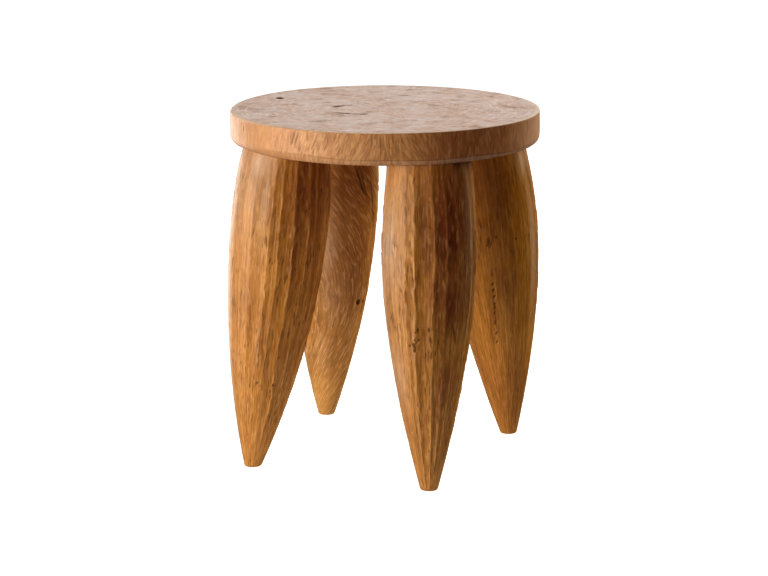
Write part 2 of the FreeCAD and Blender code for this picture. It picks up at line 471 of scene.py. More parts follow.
def seen_at(x, y, node):
    """The point of a CAD node that the photograph shows at pixel x, y."""
    matrix = camera_matrix()
    ray = Vector((x - IMAGE_WIDTH / 2, IMAGE_HEIGHT / 2 - y, -FOCAL_PIXELS))
    direction = matrix.to_3x3() @ ray.normalized()
    return SURFACES[node].ray_cast(matrix.translation, direction)[0]


def cad_faces(node, keep):
    """Welded points and faces of a CAD node's faces whose middle passes keep."""
    mesh = frame["nodes"][node].data
    places = {}
    faces = []
    for face in mesh.polygons:
        if keep(face.center):
            corners = []
            for vertex in face.vertices:
                key = tuple(round(value, 6) for value in mesh.vertices[vertex].co)
                corners.append(places.setdefault(key, len(places)))
            if len(set(corners)) == len(corners):
                faces.append(tuple(corners))
    return list(places), faces


def loop_at(points, height, centre):
    """Indices of the points at that height, in order round a centre."""
    level = [i for i, point in enumerate(points) if abs(point[2] - height) < LEVEL_SLACK]
    return sorted(level, key=lambda i: math.atan2(points[i][1] - centre[1], points[i][0] - centre[0]))


def mortise_centre(name):
    """The middle of a leg's mortise, which is where its wedge stands."""
    low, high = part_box("fox_wedge_" + name)
    return np.array(((low.x + high.x) / 2, (low.y + high.y) / 2))


# Meshes

class Shape:
    """Points, faces and values of a piece while it is being made. Each face belongs to a numbered chart."""

    def __init__(self, names):
        self.points = []
        self.strokes = []
        self.faces = []
        self.charts = []
        self.values = {name: [] for name in names}

    def add_points(self, points, strokes=None, **values):
        """Adds points with their values, and returns their indices.

        strokes is where the points would be if the tool strokes on them stood upright.
        """
        first = len(self.points)
        places = np.asarray(points, dtype=float).reshape(-1, 3)
        self.points += places.tolist()
        self.strokes.append(places if strokes is None else strokes.reshape(-1, 3))
        count = len(self.points) - first
        for name, numbers in self.values.items():
            given = values.get(name)
            numbers.append(np.zeros(count) if given is None else np.asarray(given, dtype=float).ravel())
        return np.arange(first, first + count)

    def add_faces(self, faces, chart):
        self.faces += [tuple(int(i) for i in face) for face in faces]
        self.charts += [chart] * (len(self.faces) - len(self.charts))

    def make(self, name, layouts, material, node):
        """The finished piece, which stands for a CAD node. layouts holds each chart's place in the UV map."""
        mesh = bpy.data.meshes.new(name)
        mesh.from_pydata(self.points, [], self.faces)
        for key, numbers in self.values.items():
            attribute = mesh.attributes.new(key, "FLOAT", "POINT")
            attribute.data.foreach_set("value", np.concatenate(numbers).astype(np.float32))
        attribute = mesh.attributes.new("stroke", "FLOAT_VECTOR", "POINT")
        attribute.data.foreach_set("vector", np.concatenate(self.strokes).astype(np.float32).ravel())
        mesh.polygons.foreach_set("use_smooth", np.ones(len(mesh.polygons), dtype=bool))
        mesh.set_sharp_from_angle(angle=SHARP_ANGLE)
        self.lay_out(mesh, layouts)
        mesh.materials.append(material)
        piece = bpy.data.objects.new(name, mesh)
        bpy.context.scene.collection.objects.link(piece)
        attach(piece, "root")
        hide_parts(node)

    def lay_out(self, mesh, layouts):
        """Gives each face's corners their place in the UV map."""
        corners = np.empty(len(mesh.loops), dtype=np.int32)
        mesh.loops.foreach_get("vertex_index", corners)
        sizes = np.empty(len(mesh.polygons), dtype=np.int32)
        mesh.polygons.foreach_get("loop_total", sizes)
        middles = np.empty(len(mesh.polygons) * 3, dtype=np.float32)
        mesh.polygons.foreach_get("center", middles)
        face = np.repeat(np.arange(len(sizes)), sizes)
        points = np.asarray(self.points)[corners]
        middles = middles.reshape(-1, 3).astype(float)[face]
        chart = np.asarray(self.charts)[face]
        places = np.zeros((len(corners), 2))
        for index, layout in enumerate(layouts):
            mine = chart == index
            places[mine] = layout(points[mine], middles[mine])
        layer = mesh.uv_layers.new(name="OFBake")
        layer.data.foreach_set("uv", places.astype(np.float32).ravel())


def flat_chart(centre, scale, place):
    """Lays faces out as seen from above, round a place in the UV map."""
    def layout(points, middles):
        return (points[:, :2] - np.asarray(centre)[:2]) * scale + np.asarray(place)
    return layout


def round_chart(centre_at, low, high, box):
    """Lays faces out round an upright axis: bearing across and height up a box of the UV map."""
    left, bottom, right, top = box

    def layout(points, middles):
        centre = centre_at(points[:, 2])
        turn = np.arctan2(points[:, 1] - centre[:, 1], points[:, 0] - centre[:, 0])
        middle = np.arctan2(middles[:, 1] - centre[:, 1], middles[:, 0] - centre[:, 0])
        share = (middle + turn_between(turn, middle) + math.pi) / TURN
        rise = (points[:, 2] - low) / (high - low)
        return np.stack((left + (right - left) * share, bottom + (top - bottom) * rise), axis=-1)
    return layout


def rim_chart(points, middles):
    """Lays the rim out in two strips, one above the other."""
    turn = np.arctan2(points[:, 1], points[:, 0])
    middle = np.arctan2(middles[:, 1], middles[:, 0])
    share = (middle + turn_between(turn, middle)) / math.pi
    upper = middle > 0
    across = np.where(upper, share, share + 1.0) * (1.0 - 2 * RIM_MARGIN) + RIM_MARGIN
    drop = np.hypot(points[:, 0], points[:, 1]) - SEAT_RADIUS
    rise = points[:, 2] - UNDERSIDE + np.where(points[:, 2] > SEAT_TOP - EDGE_ZONE, -drop, drop)
    low_strip, high_strip = RIM_STRIPS
    return np.stack((across, rise * RIM_SCALE + np.where(upper, high_strip, low_strip)), axis=-1)


def grid_faces(grid):
    """Quads of a grid of indices that closes on itself round its columns, seen from outside."""
    following = np.roll(grid, -1, axis=1)
    quads = np.stack((grid[:-1], following[:-1], following[1:], grid[1:]), axis=-1)
    return quads.reshape(-1, 4)


def even_net(reach, spacing):
    """Points of an even net of triangles, inside a circle round the origin."""
    columns = np.arange(-reach, reach, spacing)
    rows = np.arange(-reach, reach, spacing * math.sqrt(0.75))
    x, y = np.meshgrid(columns, rows)
    x[1::2] += spacing / 2
    net = np.stack((x.ravel(), y.ravel()), axis=-1)
    return net[np.hypot(*net.T) < reach - NET_MARGIN * spacing]


def fill_flat(ring, loops, spacing):
    """Fills a ring of points, less the round loops inside it, over an even net of new points.

    Returns x and y of the net, and triangles. They count the ring's points first, then each loop's and then
    the net's.
    """
    ring = np.asarray(ring)[:, :2]
    loops = [np.asarray(loop)[:, :2] for loop in loops]
    rounds = [(loop.mean(axis=0), np.hypot(*(loop - loop.mean(axis=0)).T).max()) for loop in loops]
    centre = ring.mean(axis=0)
    net = even_net(np.hypot(*(ring - centre).T).min(), spacing) + centre
    for middle, radius in rounds:
        net = net[np.hypot(*(net - middle).T) > radius + NET_MARGIN * spacing]
    edges = []
    first = 0
    for closed in [ring] + loops:
        edges += [(first + i, first + (i + 1) % len(closed)) for i in range(len(closed))]
        first += len(closed)
    places = np.concatenate([ring] + loops + [net])
    corners = [Vector(place) for place in places]
    _, _, triangles, sources, _, _ = delaunay_2d_cdt(corners, edges, [], 0, 1e-9)
    order = np.array([source[0] for source in sources])
    triangles = order[np.array(triangles)]
    # A triangle of ring points that runs against the ring lies outside it, in a hollow of its outline
    steps = np.roll(triangles, -1, axis=1) - triangles
    outside = (triangles < len(ring)).all(axis=1) & (steps.prod(axis=1) > 0)
    triangles = triangles[~outside]
    # The triangles inside a loop have their middles nearer to its own than its points are
    middles = places[triangles].mean(axis=1)
    for middle, radius in rounds:
        clear = np.hypot(*(middles - middle).T) > radius * 0.995
        triangles = triangles[clear]
        middles = middles[clear]
    return net, triangles


# Carving

def cut_strokes(depth, angles, heights, radii, strokes):
    """Deepens a grid of depths by narrow strokes, each long, rounded at its ends and leaning by its tilt."""
    for stroke in strokes:
        reach = 0.5 * stroke.length + 2.0 * stroke.width
        rows = np.nonzero(np.abs(heights - stroke.height) < reach)[0]
        if len(rows) == 0:
            continue
        turns = turn_between(angles, stroke.angle)
        columns = np.nonzero(np.abs(turns) * radii[rows].max() < reach)[0]
        arc = turns[columns][None, :] * radii[rows][:, None]
        rise = (heights[rows] - stroke.height)[:, None]
        along = rise * math.cos(stroke.tilt) + arc * math.sin(stroke.tilt)
        across = arc * math.cos(stroke.tilt) - rise * math.sin(stroke.tilt)
        ends = clamp(1.0 - (2.0 * along / stroke.length) ** 4)
        window = np.ix_(rows, columns)
        depth[window] = np.maximum(depth[window], stroke.depth * ends * bell(across / stroke.width))


def random_strokes(rng, count, heights, tilts, spread, length, width, depth):
    """Strokes scattered all round between two heights. tilts says how they lean, at even steps upwards."""
    levels = np.linspace(*heights, len(tilts))
    strokes = []
    for _ in range(count):
        height = rng.uniform(*heights)
        tilt = np.interp(height, levels, tilts)
        strokes.append(Stroke(
            rng.uniform(0, TURN),
            height,
            rng.normal(tilt, spread),
            rng.uniform(*length),
            rng.uniform(*width),
            rng.uniform(*depth),
        ))
    return strokes


def drawn_stroke(line, place_of, radius):
    """The stroke that the photograph shows between two pixels. place_of gives a pixel's angle and height."""
    start = place_of(line.x0, line.y0)
    end = place_of(line.x1, line.y1)
    turn = turn_between(end[0], start[0])
    rise = end[1] - start[1]
    return Stroke(
        start[0] + turn / 2,
        start[1] + rise / 2,
        math.atan2(turn * radius, rise),
        math.hypot(turn * radius, rise),
        line.width * MM,
        line.depth * MM,
    )


def pit_depth(across, along, pit):
    """Depth of a pit with a raised lip, from the distances to its middle."""
    distance = np.hypot(across / (pit.width * MM), along / (pit.height * MM))
    lip = pit.lip * MM * bell((distance - LIP_PLACE) / LIP_WIDTH)
    return pit.depth * MM * np.exp(-distance ** 4) - lip


# Legs

class Leg:
    """A leg's axis and its CAD surface, as distances from that axis by level and angle."""

    def __init__(self, name):
        self.node = "leg_" + name
        self.foot = np.array(MOUNTS["foot_" + name]["pos_m"], dtype=float)
        self.shoulder = np.append(mortise_centre(name), UNDERSIDE)
        foot = np.array(FOOT_LEVELS) * MM / UNDERSIDE
        self.levels = np.concatenate((foot, np.linspace(*EVEN_LEVELS, TABLE_LEVELS - len(foot))))
        self.axis = self.foot + np.multiply.outer(self.levels, self.shoulder - self.foot)
        coarse = self.measure(COARSE_ANGLES)
        turns = full_circle(COARSE_ANGLES)
        self.axis[:, 0] += 2.0 * (coarse * np.cos(turns)).mean(axis=1)
        self.axis[:, 1] += 2.0 * (coarse * np.sin(turns)).mean(axis=1)
        self.table = self.measure(TABLE_ANGLES)
        belly = self.table[ARRIS_ROW]
        peaks = (belly > np.roll(belly, 1)) & (belly >= np.roll(belly, -1))
        self.arrises = full_circle(TABLE_ANGLES)[peaks]

    def centre(self, height):
        """The middle of the leg at each height."""
        level = np.asarray(height) / UNDERSIDE
        x = np.interp(level, self.levels, self.axis[:, 0])
        y = np.interp(level, self.levels, self.axis[:, 1])
        return np.stack((x, y), axis=-1)

    def tenon_centre(self, height):
        """The middle of the tenon, the same at each height."""
        return np.tile(self.shoulder[:2], (len(height), 1))

    def measure(self, count):
        """Distances from the axis to the CAD surface, at each level and at even angles."""
        tree = SURFACES[self.node]
        rays = [Vector((math.cos(turn), math.sin(turn), 0.0)) for turn in full_circle(count)]
        table = np.empty((TABLE_LEVELS, count))
        for row, centre in enumerate(self.axis):
            start = Vector(centre)
            for column, ray in enumerate(rays):
                table[row, column] = tree.ray_cast(start, ray)[3]
        return table

    def sample(self, level, angle):
        """The CAD surface's distance from the axis at each level and angle."""
        row = np.clip(np.interp(level, self.levels, np.arange(TABLE_LEVELS)), 0, TABLE_LEVELS - 1.001)
        return between(self.table, row, angle / TURN * TABLE_ANGLES)

    def widest(self, level):
        return np.interp(level, self.levels, self.table.max(axis=1))

    def place_of(self, x, y):
        """Angle and height of what the photograph shows of the leg at pixel x, y."""
        point = seen_at(x, y, self.node)
        centre = self.centre(point.z)
        return math.atan2(point.y - centre[1], point.x - centre[0]), point.z


def leg_heights():
    """Rows close together round the foot's eased edge, and even above it."""
    return np.concatenate((np.array(FOOT_ROWS) * MM, np.linspace(FIRST_EVEN_ROW, UNDERSIDE, LEG_ROWS)))


def flute_cuts(leg, angle, height, rng):
    """Depth of the scoops along each flute. Cuts start and end in ridges, and differ in depth."""
    depth = np.zeros_like(angle)
    count = len(leg.arrises)
    flute = (np.searchsorted(leg.arrises, angle % TURN, side="right") - 1) % count
    for index in range(count):
        inside = flute == index
        left = leg.arrises[index]
        width = (leg.arrises[(index + 1) % count] - left) % TURN
        across = turn_between(angle[inside], left + width / 2) / (width / 2)
        lengths = rng.uniform(*CUT_LENGTHS, CUTS_IN_FLUTE)
        ends = np.cumsum(lengths) - rng.uniform(0.0, CUT_LENGTHS[1])
        steps = rng.uniform(0.0, 2.0, CUTS_IN_FLUTE) * CUT_STEP
        tilts = rng.normal(0.0, CUT_TILT, CUTS_IN_FLUTE)
        shifted = height[inside] + CUT_END_ARC * across ** 2
        cut = np.clip(np.searchsorted(ends, shifted), 0, CUTS_IN_FLUTE - 1)
        part = clamp(1.0 - (ends[cut] - shifted) / lengths[cut])
        scoop = CUT_SCOOP * (1.0 - (2.0 * part - 1.0) ** 2) + steps[cut]
        depth[inside] = scoop * (1.0 - across ** 2) + tilts[cut] * across
    return depth


def flute_relief(leg, carving, angle, height, widest, rng):
    """How far each point of a leg lies inside its widest round, and how much of a crest it is on."""
    level = height / UNDERSIDE
    share = angle / TURN
    wander = WANDER_WIDE * lattice_noise(share, level, 9, 5, rng)
    wander += WANDER_FINE * lattice_noise(share, level, 30, 40, rng)
    warped = angle + wander
    sag = widest - leg.sample(level, warped)
    crispness = np.clip(FLUTE_CRISP + FLUTE_FADE * lattice_noise(share, level, 8, 5, rng), *FLUTE_LIMITS)
    plain_turn, plain_reach, plain_share = carving.plain
    plain = bell(turn_between(angle, CAMERA_BEARING + plain_turn) / plain_reach)
    kept = carving.flutes * (1.0 - plain_share * plain)
    crispness *= kept * np.interp(level, LOW_LEVELS, (carving.low, 1.0))
    crest = clamp(1.0 - ARRIS_SHARP * sag / (sag.max(axis=1, keepdims=True) + 1e-9)) * crispness
    low_fade = np.clip(level / FADE_LEVEL, FADE_LEAST, 1.0)
    relief = FLUTE_HOLLOW * crispness * sag + flute_cuts(leg, warped, height, rng) * crispness * low_fade
    for cells in FIBRE_CELLS:
        relief += FIBRE_RELIEF * lattice_noise(share, level, *cells, rng) * low_fade
    return relief, crest


def spread_over(leg, clusters, angle, height, radius):
    """How strongly each point of a leg lies in soft patches, which are placed by the photograph."""
    share = np.zeros(angle.shape)
    for cluster in clusters:
        turn, rise = leg.place_of(cluster.x, cluster.y)
        across = turn_between(angle, turn) * radius / (cluster.width * MM)
        along = (height - rise) / (cluster.height * MM)
        share = np.maximum(share, cluster.share * np.exp(-across ** 2 - along ** 2))
    return share


def leg_wear(leg, carving, angle, height, radius, rng):
    """How thickly small upright nicks lie over a leg, where it is darkened by staining and painted shade, and
    where lightened by bleaching, painted highlights and painted sheen.
    """
    nicks = carving.nicks * clamp(0.5 + lattice_noise(angle / TURN, height / UNDERSIDE, 12, 12, rng))
    # Painted shade at the top of the leg, where the seat shades it
    shoulder = SHADE_UNDER_SEAT * np.exp(-(UNDERSIDE - height) / SHADE_UNDER_SEAT_DROP)
    return {
        "nicks": np.maximum(nicks, spread_over(leg, carving.clusters, angle, height, radius)),
        "stain": np.maximum(shoulder, spread_over(leg, carving.stains, angle, height, radius)),
        "worn": spread_over(leg, carving.bleaches, angle, height, radius),
    }


def leg_marks(leg, carving, angles, heights, radii, rng):
    """Depth of the ticks, lines and pits cut or torn into a leg, and height of the burrs left standing."""
    def strokes(count, lines, widths, depths):
        spread = ((MARKS_FROM, UNDERSIDE), carving.tilts, carving.spread, carving.length)
        scattered = random_strokes(rng, count, *spread, widths, depths)
        drawn = [drawn_stroke(line, leg.place_of, leg.table.max()) for line in lines]
        result = np.zeros((len(heights), len(angles)))
        cut_strokes(result, angles, heights, radii, scattered + drawn)
        return result

    burrs = strokes(carving.burrs, carving.ridges, BURR_WIDTHS, BURR_HEIGHTS)
    depth = strokes(carving.ticks, carving.lines, TICK_WIDTHS, TICK_DEPTHS)
    for pit in carving.pits:
        turn, height = leg.place_of(pit.x, pit.y)
        across = turn_between(angles, turn)[None, :] * radii[:, None]
        depth += pit_depth(across, (heights - height)[:, None], pit)
    return depth, burrs


def leaning(carving, heights, angle, radius):
    """Where each point of a leg would be on a post of even girth, with its leaning strokes turned upright."""
    levels = np.linspace(heights[0], heights[-1], len(carving.tilts))
    tilts = np.interp(heights, levels, carving.tilts)
    slopes = np.tan(tilts) / radius.mean(axis=1)
    steps = np.diff(heights) * (slopes[1:] + slopes[:-1]) / 2
    turned = angle - np.concatenate(((0.0,), np.cumsum(steps)))[:, None]
    return round_points(POST_RADIUS, turned, np.tile(heights[:, None], (1, angle.shape[1])))


def build_leg(name, material):
    carving = CARVINGS[name]
    rng = np.random.default_rng(carving.seed)
    leg = Leg(name)
    heights = leg_heights()
    angles = full_circle(LEG_COLUMNS)
    angle, height = np.meshgrid(angles, heights)
    widest = leg.widest(height / UNDERSIDE)
    relief, crest = flute_relief(leg, carving, angle, height, widest, rng)
    marks, burrs = leg_marks(leg, carving, angles, heights, widest.mean(axis=1), rng)
    bearing = math.atan2(leg.shoulder[1], leg.shoulder[0])
    flare = SHOULDER_FLARE * np.exp(-(UNDERSIDE - height) / FLARE_HEIGHT)
    flare *= 0.5 - 0.5 * np.cos(angle - bearing)
    foot_fill = FOOT_EDGE_FILL * clamp(1.0 - (height / FOOT_EDGE_HEIGHT) ** 2)
    radius = widest - relief - marks + BURR_RISE * burrs + flare + foot_fill
    body = round_points(radius, angle, height)
    body[..., :2] += leg.centre(heights)[:, None]
    shape = Shape(("hollow", "crest", "pale", "flicks", "nicks", "stain", "worn"))
    evenly = np.ones(angle.shape)
    grid = shape.add_points(
        body, leaning(carving, heights, angle, widest),
        hollow=clamp(marks / MARK_DARK), crest=clamp(crest + burrs / BURR_LIGHT),
        pale=carving.pale * evenly, flicks=carving.flicks * evenly,
        **leg_wear(leg, carving, angle, height, widest, rng))
    grid = grid.reshape(angle.shape)
    shape.add_faces(grid_faces(grid), 0)
    close_foot(shape, grid[0], body[0])
    add_tenon(shape, leg, grid[-1], body[-1])
    layouts = (
        round_chart(leg.centre, 0.0, UNDERSIDE, LEG_BOX),
        flat_chart(leg.foot, *FOOT_CHART),
        flat_chart(leg.shoulder, *SHOULDER_CHART),
        round_chart(leg.tenon_centre, UNDERSIDE, SEAT_TOP, TENON_BOX),
    )
    shape.make("carved_" + leg.node, layouts, material, leg.node)


def close_foot(shape, ring, places):
    """Adds the flat foot inside the leg's lowest ring."""
    net, triangles = fill_flat(places, [], FOOT_SPACING)
    inner = shape.add_points(np.column_stack((net, np.zeros(len(net)))))
    index = np.concatenate((ring, inner))
    shape.add_faces(index[triangles][:, ::-1], 1)


def add_tenon(shape, leg, ring, places):
    """Adds the shoulder and the CAD leg's own tenon with its kerf."""
    points, faces = cad_faces(leg.node, lambda middle: middle.z > UNDERSIDE + HAIR)
    foot = loop_at(points, UNDERSIDE, leg.shoulder)
    index = shape.add_points(points)
    net, triangles = fill_flat(places, [[points[i] for i in foot]], SHOULDER_SPACING)
    inner = shape.add_points(np.column_stack((net, np.full(len(net), UNDERSIDE))))
    order = np.concatenate((ring, index[foot], inner))
    shape.add_faces(order[triangles], 2)
    shape.add_faces([[index[i] for i in face] for face in faces], 3)


# Seat

def dent_depth(x, y, spacing, depth, rng):
    """Depth at each point of overlapping gouge dents scattered over the seat."""
    result = np.zeros(len(x))
    steps = np.arange(-SEAT_RADIUS, SEAT_RADIUS + spacing, spacing)
    for across in steps:
        for along in steps:
            place = np.array((across, along)) + rng.uniform(-0.5, 0.5, 2) * spacing
            turn = rng.uniform(0, math.pi)
            half_length = spacing * rng.uniform(*DENT_LENGTHS)
            half_width = spacing * rng.uniform(*DENT_WIDTHS)
            deepest = depth * rng.uniform(*DENT_DEPTHS)
            near = np.nonzero((np.abs(x - place[0]) < half_length) & (np.abs(y - place[1]) < half_length))[0]
            dx = x[near] - place[0]
            dy = y[near] - place[1]
            p = (dx * math.cos(turn) + dy * math.sin(turn)) / half_length
            q = (dy * math.cos(turn) - dx * math.sin(turn)) / half_width
            result[near] = np.maximum(result[near], deepest * (1.0 - p * p - q * q))
    return result


def seat_reach(height):
    """How far the CAD seat reaches from its axis at a height."""
    return SURFACES["seat"].ray_cast(Vector((0, 0, height)), Vector((1, 0, 0)))[3]


class Rim:
    """The seat's rim: its CAD profile with a bevel and an upper edge that vary.

    As the photograph shows it, the bevel is broadest at the left and right, and the edge at the left.
    """

    def __init__(self):
        self.angles = full_circle(RIM_COLUMNS)
        self.bevel_width = SEAT_RADIUS - seat_reach(UNDERSIDE + BEVEL_START)
        self.bevel_height = self.first_full()
        self.edge_width = SEAT_RADIUS - seat_reach(SEAT_TOP - EDGE_START)
        across = np.cos(self.angles - LEFT_END)
        self.bevel = BEVEL_SHARE + BEVEL_SWING * np.cos(2 * (self.angles - LEFT_END))
        self.bevel_rise = by_bearing(self.angles, BEVEL_HEIGHTS)
        self.edge = EDGE_SHARE + EDGE_SWING * (0.5 + 0.5 * across) ** 6
        self.rounding = ROUND_SHARE + ROUND_SWING * across ** 4

    def first_full(self):
        """Height above the underside at which the rim reaches its full radius."""
        for step in range(200):
            rise = step * 0.1 * MM
            if seat_reach(UNDERSIDE + rise) > SEAT_RADIUS - FULL_SLACK:
                return rise
        raise ValueError("the seat's rim has no upright face")

    def profile(self):
        """Height and radius of each row and column: bevel, face and upper round."""
        face_rows = RIM_ROWS - BEVEL_ROWS - EDGE_ROWS
        bevel_height = self.bevel_height * self.bevel_rise
        bevel_width = self.bevel_width * self.bevel
        edge = self.edge_width * self.edge
        heights = []
        radii = []
        for share in np.linspace(0.0, 1.0, BEVEL_ROWS):
            rounded = 1.0 - math.sqrt(1.0 - (1.0 - share) ** 2)
            heights.append(UNDERSIDE + bevel_height * share)
            radii.append(SEAT_RADIUS - bevel_width * (1.0 - share + self.rounding * (rounded - 1.0 + share)))
        face_low = UNDERSIDE + bevel_height
        face_high = SEAT_TOP - edge
        for share in np.linspace(0.0, 1.0, face_rows + 2)[1:-1]:
            heights.append(face_low + (face_high - face_low) * share)
            radii.append(np.full(RIM_COLUMNS, SEAT_RADIUS))
        for turn in np.linspace(0.0, math.pi / 2, EDGE_ROWS):
            heights.append(SEAT_TOP - edge * (1.0 - math.sin(turn)))
            radii.append(SEAT_RADIUS - edge * (1.0 - math.cos(turn)))
        return np.array(heights), np.array(radii)


def rim_place(x, y):
    """Angle and height of what the photograph shows of the rim at pixel x, y."""
    point = seen_at(x, y, "seat")
    return math.atan2(point.y, point.x), point.z


def rim_strokes(rng):
    """Gouge strokes scattered all round the rim, with the lean and depth that the tables give."""
    strokes = random_strokes(
        rng, RIM_STROKES, (UNDERSIDE, SEAT_TOP), (0, 0), RIM_SPREAD, RIM_LENGTHS, RIM_WIDTHS, RIM_CUTS)
    return [
        stroke._replace(
            tilt=stroke.tilt + by_bearing(stroke.angle, RIM_LEANS) * DEG,
            depth=stroke.depth * by_bearing(stroke.angle, RIM_DEPTHS))
        for stroke in strokes]


def build_seat(material):
    rng = np.random.default_rng(SEAT_SEED)
    shape = Shape(("hollow", "crest", "top", "worn", "flicks", "nicks", "stain"))
    ring_low, ring_high, low_places, high_places = add_rim(shape, rng)
    add_top(shape, ring_high, high_places, rng)
    add_underside(shape, ring_low, low_places, rng)
    layouts = (
        rim_chart,
        flat_chart((0, 0), *TOP_CHART),
        flat_chart((0, 0), *UNDERSIDE_CHART),
        flat_chart((0, 0), *MORTISE_CHART),
    )
    shape.make("carved_seat", layouts, material, "seat")


def add_rim(shape, rng):
    """Adds the rim, and returns its lowest and highest rings and their places."""
    rim = Rim()
    height, base = rim.profile()
    angle = np.tile(rim.angles, (len(height), 1))
    share = angle / TURN
    level = (height - UNDERSIDE) / SEAT_THICKNESS
    relief = RIM_WAVES * lattice_noise(share, level, 40, 2, rng)
    relief += RIM_RIPPLES * lattice_noise(share, level, 150, 4, rng)
    rows = (rim.angles, height.mean(axis=1), np.full(len(height), SEAT_RADIUS))
    strokes = rim_strokes(rng)
    burrs = np.zeros_like(relief)
    cut_strokes(burrs, *rows, strokes[::2])
    marks = np.zeros_like(relief)
    drawn = [drawn_stroke(line, rim_place, SEAT_RADIUS) for line in RIM_LINES]
    cut_strokes(marks, *rows, strokes[1::2] + drawn)
    bevel_top = marks[BEVEL_ROWS - 1]
    marks[BEVEL_ROWS - 1] = np.maximum(bevel_top, by_bearing(rim.angles, BEVEL_SCORES) * MM)
    inner = np.ones(len(height))
    inner[[0, -1]] = 0.0
    radius = base - (np.clip(relief, -RIM_PROUD, None) + marks - RIM_BURR_RISE * burrs) * inner[:, None]
    places = round_points(radius, angle, height)
    edge = clamp((SEAT_RADIUS - base) / EDGE_FULL)
    # Painted sheen lightens the bevel and the face at its left and right, wear and a painted highlight the
    # upper edge, and staining and painted shade darken the face on its shaded side
    edge_and_bevel_light = np.where(level > 0.5, by_bearing(rim.angles, EDGE_WEAR_AND_HIGHLIGHT), by_bearing(rim.angles, BEVEL_SHEEN))
    turned = angle - (height - UNDERSIDE) * np.tan(by_bearing(rim.angles, RIM_LEANS) * DEG) / SEAT_RADIUS
    grid = shape.add_points(
        places, round_points(SEAT_RADIUS, turned, height),
        hollow=clamp(marks / RIM_MARK_DARK), crest=clamp(burrs / RIM_BURR_LIGHT),
        worn=np.maximum(edge * edge_and_bevel_light, by_bearing(angle, RIM_SHEEN)), flicks=by_bearing(angle, RIM_FLICKS),
        nicks=np.full(angle.shape, RIM_NICKS), stain=by_bearing(angle, RIM_STAIN_AND_SHADE))
    grid = grid.reshape(angle.shape)
    shape.add_faces(grid_faces(grid), 0)
    return grid[0], grid[-1], places[0], places[-1]


def top_marks(x, y):
    """Depth of the pit and the checks in the top."""
    depth = np.zeros(len(x))
    for line in TOP_CHECKS:
        start = seen_at(line.x0, line.y0, "seat")
        end = seen_at(line.x1, line.y1, "seat")
        length = math.hypot(end.x - start.x, end.y - start.y)
        ahead = np.array((end.x - start.x, end.y - start.y)) / length
        along = (x - start.x) * ahead[0] + (y - start.y) * ahead[1]
        across = (y - start.y) * ahead[0] - (x - start.x) * ahead[1]
        ends = clamp(1.0 - (2.0 * along / length - 1.0) ** 2)
        depth = np.maximum(depth, line.depth * MM * ends * bell(across / (line.width * MM)))
    middle = seen_at(TOP_PIT.x, TOP_PIT.y, "seat")
    across = (x - middle.x) * VIEW_RIGHT.x + (y - middle.y) * VIEW_RIGHT.y
    along = (x - middle.x) * VIEW_AWAY.x + (y - middle.y) * VIEW_AWAY.y
    return depth + pit_depth(across, along, TOP_PIT)


def add_top(shape, ring, places, rng):
    """Adds the top with its dents and marks. Its tool strokes follow the growth rings."""
    net, triangles = fill_flat(places, [], TOP_SPACING)
    x, y = net.T
    turn = np.arctan2(y, x)
    dents = dent_depth(x, y, *TOP_HOLLOWS, rng) + dent_depth(x, y, *TOP_DENTS, rng)
    marks = top_marks(x, y)
    inward = clamp((np.hypot(*places[0, :2]) - np.hypot(x, y)) / TOP_FADE)
    # Wear and a painted highlight lighten the ring along the top's edge, and a painted glint the ridges
    # between dents
    inner = shape.add_points(
        np.column_stack((x, y, SEAT_TOP - (dents + marks) * inward)),
        round_points(RING_RADIUS, turn, np.hypot(x, y)),
        hollow=clamp(marks / TOP_MARK_DARK), crest=clamp(1.0 - dents / RIDGE_DEPTH),
        worn=by_bearing(turn, EDGE_WEAR_AND_HIGHLIGHT) * clamp(1.0 - inward), top=np.ones(len(x)))
    index = np.concatenate((ring, inner))
    shape.add_faces(index[triangles], 1)


def in_mortise(middle):
    """Whether a face of the CAD seat with that middle belongs to a mortise."""
    between_faces = UNDERSIDE + HAIR < middle.z < SEAT_TOP - EDGE_ZONE
    return between_faces and math.hypot(middle.x, middle.y) < MORTISE_CIRCLE


def mouth_at(points, centre):
    """Indices of the points round the mouth of the mortise at a centre, in order."""
    level = loop_at(points, UNDERSIDE, centre)
    return [i for i in level if math.dist(points[i][:2], centre) < MORTISE_REACH]


def add_underside(shape, ring, places, rng):
    """Adds the underside with its dents, which stop short of the legs, and the CAD seat's own mortises."""
    points, faces = cad_faces("seat", in_mortise)
    index = shape.add_points(points)
    shape.add_faces([[index[i] for i in face] for face in faces], 3)
    centres = [mortise_centre(name) for name in LEG_NAMES]
    mouths = [mouth_at(points, centre) for centre in centres]
    loops = [[points[i] for i in mouth] for mouth in mouths]
    net, triangles = fill_flat(places, loops, UNDERSIDE_SPACING)
    x, y = net.T
    free = clamp((np.hypot(*places[0, :2]) - np.hypot(x, y)) / UNDERSIDE_FADE)
    for centre in centres:
        free *= clamp((np.hypot(x - centre[0], y - centre[1]) - LEG_REACH) / UNDERSIDE_FADE)
    height = UNDERSIDE + dent_depth(x, y, *UNDERSIDE_DENTS, rng) * free
    inner = shape.add_points(np.column_stack((x, y, height)))
    order = np.concatenate([ring] + [index[mouth] for mouth in mouths] + [inner])
    shape.add_faces(order[triangles][:, ::-1], 2)


# Materials

# The top is bleached from wear, tan in some patches and greyish in others. Its greyish and light tones are
# partly painted sheen and painted glints.
BLEACHED_TAN = (0.60, 0.30, 0.13, 1.0)
BLEACH_AND_SHEEN_GREY = (0.58, 0.38, 0.30, 1.0)
BLEACHED_DARK = (0.33, 0.14, 0.055, 1.0)
BLEACH_AND_GLINT_LIGHT = (0.82, 0.61, 0.50, 1.0)
